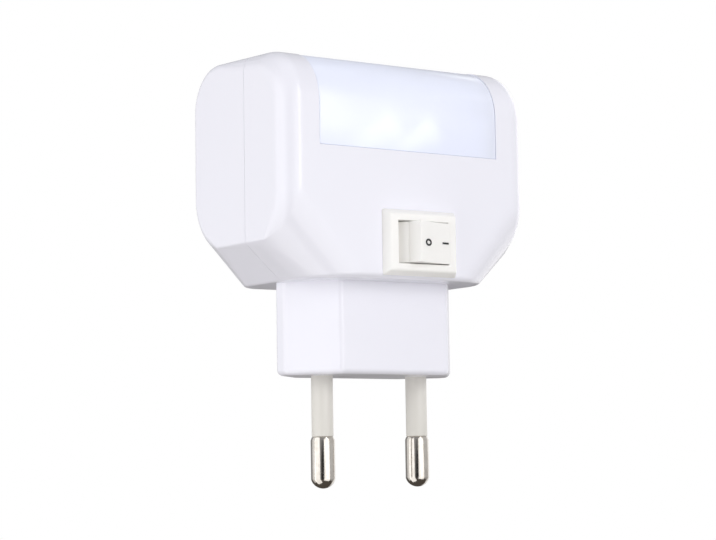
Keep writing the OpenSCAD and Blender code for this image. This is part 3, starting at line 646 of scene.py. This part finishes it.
def housing_form(name, inset):
    """The housing's closed form set in by a distance: rings at its twelve corners, wrapped tightly."""
    bpy.ops.object.select_all(action="DESELECT")
    base_tube = max(base_edge_r - inset, least_r)
    knee_tube = max(knee_r - inset, least_r)
    foot = base_half - inset * math.tan((math.pi / 2 - taper_angle) / 2)
    upright = (0, math.pi / 2, 0)
    fine = inset == 0
    rings = []
    for side in (-1, 1):
        for facing, face, edge_r, top_r, base_r, lean in (
            (-1, -body_low.y, front_edge_r, front_top_r, front_base_r, 0),
            (1, body_high.y, rear_edge_r, rear_top_r, rear_base_r, rear_lean),
        ):
            tube = max(edge_r - inset, least_r)
            side_x = side * (body_high.x - inset - tube)
            centre = (side_x, facing * (face - top_r), body_high.z - top_r)
            rings.append(ring(centre, upright, top_r - inset, tube, fine))
            corner_z = knee_z(inset + tube) + side_corner_r - inset - tube
            centre = (side_x, facing * (face - side_corner_r), corner_z)
            rings.append(ring(centre, upright, side_corner_r - inset, tube, fine))
            base_x = side * (foot - base_r + inset)
            centre = (base_x, facing * (face - lean - base_r), body_low.z + inset + base_tube)
            rings.append(ring(centre, (0, 0, 0), base_r - inset, base_tube, fine))
        knee = Vector((side * (body_high.x - inset - knee_tube), 0, knee_z(inset + knee_tube)))
        rear_end = knee + Vector((0, knee_rear_y, 0))
        front_end = knee + Vector((0, knee_front_y, 0))
        rings.append(rod("knee", knee_tube, front_end, rear_end, vertices=24))
    bpy.ops.object.select_all(action="DESELECT")
    for piece in rings:
        piece.select_set(True)
    bpy.context.view_layer.objects.active = rings[0]
    bpy.ops.object.join()
    form = bpy.context.object
    form.name = name
    settle(form)
    bpy.ops.object.mode_set(mode="EDIT")
    bpy.ops.mesh.select_all(action="SELECT")
    bpy.ops.mesh.convex_hull(delete_unused=True, use_existing_faces=False, make_holes=False)
    bpy.ops.mesh.select_all(action="SELECT")
    bpy.ops.mesh.dissolve_limited(angle_limit=flat_angle)
    bpy.ops.mesh.select_all(action="SELECT")
    bpy.ops.mesh.normals_make_consistent(inside=False)
    bpy.ops.object.mode_set(mode="OBJECT")
    return form


def soften_edges(piece, width, segments=3, angle=50):
    """Rounds the edges that are sharper than the given angle."""
    apply_modifier(
        piece, "BEVEL", width=width, segments=segments,
        limit_method="ANGLE", angle_limit=math.radians(angle),
    )


def shell(name, facing):
    """Half of the housing on one side of the seam: its wall and two bosses for the case screws."""
    far = 60 * MM
    near_y = seam_y + facing * seam_gap / 2
    face_y = body_high.y if facing > 0 else body_low.y
    boss_end_y = face_y - facing * wall / 2
    piece = block(name, (-far, min(near_y, facing * far), 0), (far, max(near_y, facing * far), far))
    combine(piece, "DIFFERENCE", housing_form("hollow", wall))
    for side in (-1, 1):
        boss = rod("boss", boss_r, (side * screw_x, near_y, screw_z),
                   (side * screw_x, boss_end_y, screw_z), sides)
        combine(piece, "UNION", boss)
    combine(piece, "INTERSECT", housing_form("outside", 0))
    return piece


def neck_cut():
    """Tool for the opening in the housing's floor round the plug's neck."""
    return eight_sided("neck", neck_inset, shank_h - past, shank_h + wall + past)


rear = shell("rear_moulding", 1)
for side in (-1, 1):
    head_hole = rod("head_hole", counterbore_r, (side * screw_x, screw_seat_y, screw_z),
                    (side * screw_x, body_high.y + past, screw_z), sides)
    shaft_hole = rod("shaft_hole", screw_hole_r, (side * screw_x, seam_y - past, screw_z),
                     (side * screw_x, screw_seat_y + past, screw_z), sides)
    combine(rear, "DIFFERENCE", head_hole, shaft_hole)
combine(rear, "DIFFERENCE", neck_cut())
finish_smooth(rear, 30)
soften_edges(rear, shell_edge_r)
finish_flats(rear, 60)
rear.data.materials.append(housing_white)
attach(rear, "housing")
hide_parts("rear_shell")

# Front shell: the front half of the housing, with the window's opening from its face over the top
# edge, a cut-out for the switch, and two bosses that the case screws bite into
window_half = 17.7 * MM
sill_z = 36.3 * MM
switch_low, switch_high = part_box("switch_frame")
cutout_half = (6.65 * MM, 4.35 * MM)
pilot_len = 8 * MM
switch_centre = Vector(((switch_low.x + switch_high.x) / 2, 0, (switch_low.z + switch_high.z) / 2))
front = shell("front_moulding", -1)
for side in (-1, 1):
    pilot = rod("pilot", screw_hole_r, (side * screw_x, seam_y + past, screw_z),
                (side * screw_x, seam_y - pilot_len, screw_z), sides)
    combine(front, "DIFFERENCE", pilot)
window = block("window", (-window_half, body_low.y - past, sill_z),
               (window_half, seam_y + past, body_high.z + past))
cutout_reach = Vector((cutout_half[0], 0, cutout_half[1]))
cutout = block("cutout", switch_centre - cutout_reach + Vector((0, body_low.y - past, 0)),
               switch_centre + cutout_reach + Vector((0, body_low.y + wall + past, 0)))
combine(front, "DIFFERENCE", window, cutout, neck_cut())
finish_smooth(front, 30)
soften_edges(front, shell_edge_r)
finish_flats(front, 60)
front.data.materials.append(housing_white)
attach(front, "housing")
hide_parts("front_shell")

# LED glow: a soft pool of light round each of the three LEDs, the left one weaker. The lens, the
# reflector and the LEDs themselves each take their light from it, with a reach of their own. On the
# LEDs it is their own light; on the lens and the reflector, which are no lamps, it is painted light.
led_names = ("left", "centre", "right")
led_xs = [(low.x + high.x) / 2 for low, high in (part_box("led_" + name) for name in led_names)]
led_low, led_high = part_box("led_centre")
led_y = (led_low.y + led_high.y) / 2
led_low_z = led_low.z
led_high_z = led_high.z
led_weights = (0.45, 1.0, 1.0)
glow, glow_in, glow_out = new_group(
    "led_glow",
    [("Reach", "Float", 8 * MM), ("Height", "Float", led_high_z)],
    [("Glow", "Float")],
)
nodes, links = glow.nodes, glow.links
place = nodes.new("ShaderNodeTexCoord")
total = None
for led_x, weight in zip(led_xs, led_weights):
    spot = nodes.new("ShaderNodeCombineXYZ")
    spot.inputs["X"].default_value = led_x
    spot.inputs["Y"].default_value = led_y
    links.new(glow_in.outputs["Height"], spot.inputs["Z"])
    away = nodes.new("ShaderNodeVectorMath")
    away.operation = "DISTANCE"
    links.new(place.outputs["Object"], away.inputs[0])
    links.new(spot.outputs["Vector"], away.inputs[1])
    fade = nodes.new("ShaderNodeMapRange")
    fade.interpolation_type = "SMOOTHERSTEP"
    fade.inputs["To Min"].default_value = weight
    fade.inputs["To Max"].default_value = 0
    links.new(away.outputs["Value"], fade.inputs["Value"])
    links.new(glow_in.outputs["Reach"], fade.inputs["From Max"])
    if total is None:
        total = fade.outputs["Result"]
        continue
    brighter = nodes.new("ShaderNodeMath")
    brighter.operation = "MAXIMUM"
    links.new(total, brighter.inputs[0])
    links.new(fade.outputs["Result"], brighter.inputs[1])
    total = brighter.outputs["Value"]
links.new(total, glow_out.inputs["Glow"])


def glowing(material, dim, bright, reach, height, strength):
    """Paints the LEDs' light into a material as emission: dim far from them and bright near them."""
    nodes, links = material.node_tree.nodes, material.node_tree.links
    shader = nodes["Principled BSDF"]
    pool = nodes.new("ShaderNodeGroup")
    pool.node_tree = glow
    pool.inputs["Reach"].default_value = reach
    pool.inputs["Height"].default_value = height
    light = nodes.new("ShaderNodeMix")
    light.data_type = "RGBA"
    light.inputs["A"].default_value = (*dim, 1)
    light.inputs["B"].default_value = (*bright, 1)
    links.new(pool.outputs["Glow"], light.inputs["Factor"])
    links.new(light.outputs["Result"], shader.inputs["Emission Color"])
    shader.inputs["Emission Strength"].default_value = strength
    return material


# Window lens: a clear band moulded to the housing's front and rounded top edge, held from behind by
# a thin flange. It is a little milky, so the light behind it shows as soft spots, and it has a painted
# glow of its own, faint all over and stronger near the LEDs.
lens_recess = 0.1 * MM
lens_edge_r = 0.1 * MM
lens_back = 2.5 * MM
lens_half = 17.6 * MM
flange_half = 19.1 * MM
flange_depth = 1.6 * MM
lens_bottom = sill_z + 0.1 * MM
flange_bottom = sill_z - 1.4 * MM
lens_rear_y = seam_y - 0.1 * MM
flange_rear_y = seam_y + 1.4 * MM
crown_y = body_low.y + front_top_r
crown_z = body_high.z - front_top_r


def swept_band(name, half_width, outer, inner, bottom, rear_y):
    """A strip that follows the housing's front and top edge between two depths below its face."""
    piece = block(
        name, (-half_width, body_low.y + outer, bottom), (half_width, body_low.y + inner, crown_z),
    )
    pick_faces(piece, lambda centre, normal: normal.z > square_on)
    bpy.ops.mesh.spin(steps=32, angle=math.pi / 2, center=(0, crown_y, crown_z), axis=(1, 0, 0))
    pick_faces(piece, lambda centre, normal: normal.y > square_on and centre.z > crown_z)
    bpy.ops.mesh.extrude_region_move(TRANSFORM_OT_translate={"value": (0, rear_y - crown_y, 0)})
    bpy.ops.mesh.select_all(action="SELECT")
    bpy.ops.mesh.remove_doubles(threshold=weld)
    bpy.ops.mesh.normals_make_consistent(inside=False)
    bpy.ops.object.mode_set(mode="OBJECT")
    return piece


lens = swept_band("lens_band", lens_half, lens_recess, lens_back, lens_bottom, lens_rear_y)
flange_back = lens_back + near
flange = swept_band("flange", flange_half, flange_depth, flange_back, flange_bottom, flange_rear_y)
combine(lens, "UNION", flange)
soften_edges(lens, lens_edge_r, segments=2)
finish_smooth(lens, 40)
lens_clear = moulded(
    "lens_clear", (0.90, 0.92, 1.0), (0.885, 0.91, 1.0), 0.20, 0.26, grain=900, height=2e-6, patch=90,
    Transmission_Weight=0.3,
)
# Painted light: the lens glows faintly all over and more near the LEDs, though it is no lamp.
glowing(
    lens_clear, dim=(0.80, 0.84, 1.0), bright=(0.9, 0.92, 1.0),
    reach=12 * MM, height=led_high_z, strength=0.1,
)
lens.data.materials.append(lens_clear)
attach(lens, "housing")
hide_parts("window_lens")

# Reflector: a matt white plastic tray that lies on the circuit board behind the window. The LEDs stand
# up through holes in its floor and light it, and painted light adds to that: a glow of its own, bluish
# far from the LEDs and white near them.


def dress(node, material):
    """Gives a CAD node that is shown as it is its finished material."""
    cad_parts[node].data.materials.clear()
    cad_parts[node].data.materials.append(material)


reflector_white = moulded(
    "reflector_white", (0.86, 0.88, 0.94), (0.82, 0.84, 0.92), 0.4, 0.55,
    grain=1800, height=4e-6, patch=150,
)
# Painted light: the reflector glows bluish far from the LEDs and white near them, though it is no lamp.
glowing(
    reflector_white, dim=(0.58, 0.66, 1.0), bright=(1.0, 1.0, 1.0),
    reach=10 * MM, height=led_low_z + 4 * MM, strength=0.06,
)
dress("reflector", reflector_white)

# LEDs: three 5 mm lamps cast in clear epoxy, with a flange at the foot and a domed top. Their legs are
# soldered to the board.
led_r = 2.5 * MM
foot_r = 2.9 * MM
foot_h = 1.0 * MM
foot_edge = 0.1 * MM
dome_z = led_high_z - led_r
led_profile = [
    (foot_r - foot_edge, led_low_z),
    (foot_r, led_low_z + foot_edge),
    (foot_r, led_low_z + foot_h - foot_edge),
    (foot_r - foot_edge, led_low_z + foot_h),
    (led_r, led_low_z + foot_h),
]
for step in range(dome_steps):
    angle = math.pi / 2 * step / dome_steps
    led_profile.append((led_r * math.cos(angle), dome_z + led_r * math.sin(angle)))
led_profile.append((tip_r, led_high_z))
led_clear = moulded(
    "led_clear", (0.9, 0.94, 1.0), (0.86, 0.91, 1.0), 0.05, 0.12, grain=1200, height=1e-6, patch=300,
)
glowing(
    led_clear, dim=(0.02, 0.03, 0.05), bright=(1.0, 1.0, 1.0),
    reach=3.8 * MM, height=led_high_z - 2.2 * MM, strength=5.6,
)
for led_x, led_name in zip(led_xs, led_names):
    bulb = turned("led_bulb_" + led_name, led_x, led_y, led_profile)
    finish_smooth(bulb, 50)
    bulb.data.materials.append(led_clear)
    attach(bulb, "housing")
    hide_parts("led_" + led_name)

# Switch frame: the ivory nylon body of a miniature rocker switch, with a bezel that stands on the
# housing's face and a rocker opening in it. It snaps into the cut-out from the front.
bezel_low = switch_low
bezel_high = Vector((switch_high.x, body_low.y, switch_high.z))
bezel_slope = 0.8 * MM
bezel_round = 0.3 * MM
bezel_edge_r = 0.12 * MM
bezel_overlap = 0.2 * MM
pivot_depth = 2.5 * MM
pivot = Vector((switch_centre.x, body_low.y + pivot_depth, switch_centre.z))
frame_half_w = 6.5 * MM
frame_half_h = 4.2 * MM
frame_back_y = switch_high.y
opening_half_w = 5.0 * MM
opening_half_h = 3.5 * MM
opening_back_y = frame_back_y - 1.5 * MM
bezel = block("switch_bezel", bezel_low, bezel_high)
pick_faces(bezel, lambda centre, normal: normal.y < -square_on)
bpy.ops.transform.resize(
    value=(
        1 - 2 * bezel_slope / (bezel_high.x - bezel_low.x),
        1,
        1 - 2 * bezel_slope / (bezel_high.z - bezel_low.z),
    ),
    center_override=(switch_centre.x, bezel_low.y, switch_centre.z),
)
pick_edges(bezel, lambda a, b: min(a.y, b.y) < bezel_low.y + near)
bpy.ops.mesh.bevel(offset=bezel_round, segments=4, affect="EDGES")
bpy.ops.object.mode_set(mode="OBJECT")
body = block(
    "body",
    (switch_centre.x - frame_half_w, bezel_high.y - bezel_overlap, switch_centre.z - frame_half_h),
    (switch_centre.x + frame_half_w, frame_back_y, switch_centre.z + frame_half_h),
)
combine(bezel, "UNION", body)
opening = block(
    "opening",
    (switch_centre.x - opening_half_w, bezel_low.y - past, switch_centre.z - opening_half_h),
    (switch_centre.x + opening_half_w, opening_back_y, switch_centre.z + opening_half_h),
)
combine(bezel, "DIFFERENCE", opening)
soften_edges(bezel, bezel_edge_r)
finish_flats(bezel, 60)
switch_ivory = moulded(
    "switch_ivory", (0.96, 0.945, 0.918), (0.945, 0.93, 0.9), 0.30, 0.40,
    grain=3000, height=3e-6, patch=160,
    Subsurface_Weight=0.4, Subsurface_Scale=0.7 * MM, Subsurface_Radius=(1, 1, 1),
)
bezel.data.materials.append(switch_ivory)
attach(bezel, "housing")
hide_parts("switch_frame")

# Rocker: an ivory key whose ends are rounded about its pivot and whose top is two facets that meet in
# a shallow valley. Two studs at its ends turn in the frame, and a stem holds the spring and plunger.
rocker_r = 4.85 * MM
rocker_half_h = 3.35 * MM
rocker_shoulder = 3.0 * MM
rocker_waist = 0.6 * MM
rocker_edge_x = 3.67 * MM
rocker_edge_y = 5.44 * MM
rocker_valley = 0.4 * MM
rocker_tilt = math.radians(15)
stem_half = 2.2 * MM
stem_end = 3.0 * MM
stud_r = 1.0 * MM
stud_half = 4.1 * MM
spring_bore_r = 1.2 * MM
spring_bore_top = -1.0 * MM
rocker_edge_r = 0.16 * MM
shoulder_x = math.sqrt(rocker_r**2 - rocker_shoulder**2)
rocker = rod("rocker_key", rocker_r, (0, 0, -rocker_half_h), (0, 0, rocker_half_h), vertices=192)
bpy.ops.object.mode_set(mode="EDIT")
for plane_y, outward in ((rocker_waist, 1), (-rocker_shoulder, -1)):
    bpy.ops.mesh.select_all(action="SELECT")
    bpy.ops.mesh.bisect(
        plane_co=(0, plane_y, 0), plane_no=(0, outward, 0),
        use_fill=True, clear_outer=True, threshold=weld,
    )
bpy.ops.object.mode_set(mode="OBJECT")
cap = block(
    "cap", (-shoulder_x, -rocker_edge_y, -rocker_half_h), (shoulder_x, -rocker_shoulder, rocker_half_h),
)
pick_faces(cap, lambda centre, normal: normal.y < -square_on)
bpy.ops.transform.resize(value=(rocker_edge_x / shoulder_x, 1, 1), center_override=(0, -rocker_edge_y, 0))
bpy.ops.mesh.select_all(action="SELECT")
bpy.ops.mesh.bisect(plane_co=(0, 0, 0), plane_no=(1, 0, 0), threshold=weld)
pick_edges(
    cap, lambda a, b: max(abs(a.x), abs(b.x)) < near and max(a.y, b.y) < near - rocker_edge_y,
)
bpy.ops.transform.translate(value=(0, rocker_valley, 0))
bpy.ops.object.mode_set(mode="OBJECT")
stem = block("stem", (-stem_half, 0, -rocker_half_h), (stem_half, stem_end, rocker_half_h))
studs = rod("studs", stud_r, (0, 0, -stud_half), (0, 0, stud_half))
combine(rocker, "UNION", cap, stem, studs)
spring_bore = rod("spring_bore", spring_bore_r, (0, spring_bore_top, 0), (0, stem_end + past, 0))
combine(rocker, "DIFFERENCE", spring_bore)
soften_edges(rocker, rocker_edge_r, angle=40)
rocker.rotation_euler = (0, 0, rocker_tilt)
rocker.location = pivot
settle(rocker)
finish_flats(rocker, 60)
rocker.data.materials.append(switch_ivory)
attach(rocker, "rocker")
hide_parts("switch_rocker")

# Marks on the rocker: an oval ring and a bar printed in thick black ink on its two facets, both with
# their long way along the key
mark_sink = 0.05 * MM
mark_rise = 0.1 * MM
mark_stroke = 0.3 * MM
mark_edge_r = 0.03 * MM
ring_half = (0.82 * MM, 0.59 * MM)
ring_at = (-1.52 * MM, -0.08 * MM)
bar_half = 0.68 * MM
bar_at = (2.68 * MM, 0.02 * MM)
facet_angle = math.atan(rocker_valley / rocker_edge_x)


def on_facet(piece, across, rise):
    """Lays a mark that was made at the origin on the rocker's facet at the given place."""
    facet_y = rocker_valley * (1 - abs(across) / rocker_edge_x) - rocker_edge_y
    piece.rotation_euler = (0, 0, -math.copysign(facet_angle, across))
    piece.location = (across, facet_y, rise)
    settle(piece)


def oval(name, half_width, half_height, behind, front):
    """A flat oval disc that reaches a distance behind and in front of the facet."""
    piece = rod(name, MM, (0, behind, 0), (0, -front, 0), sides)
    piece.scale = (half_width / MM, 1, half_height / MM)
    settle(piece)
    return piece


marks = oval("printed_marks", *ring_half, mark_sink, mark_rise)
hole_half = (ring_half[0] - mark_stroke, ring_half[1] - mark_stroke)
combine(marks, "DIFFERENCE", oval("ring_hole", *hole_half, past, past))
on_facet(marks, *ring_at)
bar = block("bar", (-bar_half, -mark_rise, -mark_stroke / 2), (bar_half, mark_sink, mark_stroke / 2))
on_facet(bar, *bar_at)
combine(marks, "UNION", bar)
soften_edges(marks, mark_edge_r, segments=2)
marks.rotation_euler = (0, 0, rocker_tilt)
marks.location = pivot
settle(marks)
finish_smooth(marks, 40)
marks.data.materials.append(moulded(
    "mark_black", (0.012, 0.012, 0.013), (0.02, 0.02, 0.021), 0.5, 0.65,
    grain=9000, height=4e-6, patch=2500,
))
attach(marks, "rocker")
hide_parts("rocker_marks")

# Inside the switch: a brown plunger and its spring in the rocker's stem, which rock a brass contact
# lever on the common terminal, and the load terminal beside it
dress("rocker_plunger", moulded(
    "plunger_brown", (0.33, 0.17, 0.07), (0.27, 0.13, 0.05), 0.35, 0.5, patch=600,
))
dress("rocker_spring", drawn_metal("spring_steel", (0.62, 0.62, 0.63), (0.42, 0.42, 0.44), 0.2, 0.35))
contact_brass = drawn_metal(
    "contact_brass", (0.80, 0.58, 0.26), (0.62, 0.43, 0.17), 0.18, 0.36, stretch=(1, 0.08, 1), scale=4000,
)
for node in ("contact_lever", "common_terminal", "load_terminal"):
    dress(node, contact_brass)

# Circuit board: a green lacquered plate of glass and epoxy that lies on ledges of the housing, under the
# reflector. It carries the LEDs on top and the other parts underneath.
dress("circuit_board", moulded(
    "board_green", (0.03, 0.17, 0.07), (0.045, 0.24, 0.10), 0.25, 0.4, grain=1600, height=8e-6, patch=420,
))

# Leads: tinned wire legs of the LEDs and of the parts on the board, pushed through its holes and
# soldered there
lead_tin = drawn_metal("lead_tin", (0.72, 0.71, 0.69), (0.5, 0.49, 0.47), 0.22, 0.4)
for node in ("led_leads", "component_leads"):
    dress(node, lead_tin)

# Parts on the board: a red dipped film capacitor, a smoothing capacitor in a blue sleeve, a bridge
# rectifier in black epoxy and two lacquered resistors, held by their leads
dress("film_capacitor", moulded(
    "film_red", (0.36, 0.035, 0.02), (0.30, 0.025, 0.015), 0.2, 0.3, grain=1500, height=5e-6, patch=300,
))
dress("smoothing_capacitor", moulded(
    "can_blue", (0.02, 0.03, 0.12), (0.03, 0.045, 0.17), 0.22, 0.34, grain=2500, height=2e-6, patch=300,
))
dress("bridge_rectifier", moulded(
    "epoxy_black", (0.02, 0.02, 0.022), (0.035, 0.035, 0.036), 0.45, 0.6,
    grain=5000, height=8e-6, patch=500,
))
dress("resistors", moulded(
    "resistor_tan", (0.55, 0.38, 0.20), (0.48, 0.32, 0.16), 0.3, 0.42, grain=3000, height=5e-6, patch=700,
))

# Wires: three leads in soft plastic insulation, brown from the left pin to the switch, black from the
# switch to the board and blue from the right pin to the board
for node, name, colour in (
    ("live_wire", "wire_brown", (0.20, 0.085, 0.035)),
    ("switched_wire", "wire_black", (0.02, 0.02, 0.02)),
    ("neutral_wire", "wire_blue", (0.03, 0.11, 0.42)),
):
    worn = tuple(0.8 * c + 0.01 for c in colour)
    dress(node, moulded(name, colour, worn, 0.35, 0.5, grain=2500, height=5e-6, patch=500))

# Case screws: two zinc-plated self-tapping screws with a cross recess. They are driven from the back,
# through the rear shell into the front shell's bosses.
dress("case_screws", drawn_metal(
    "screw_steel", (0.66, 0.66, 0.64), (0.46, 0.46, 0.45), 0.2, 0.38, stretch=(1, 0.1, 1), scale=3500,
))
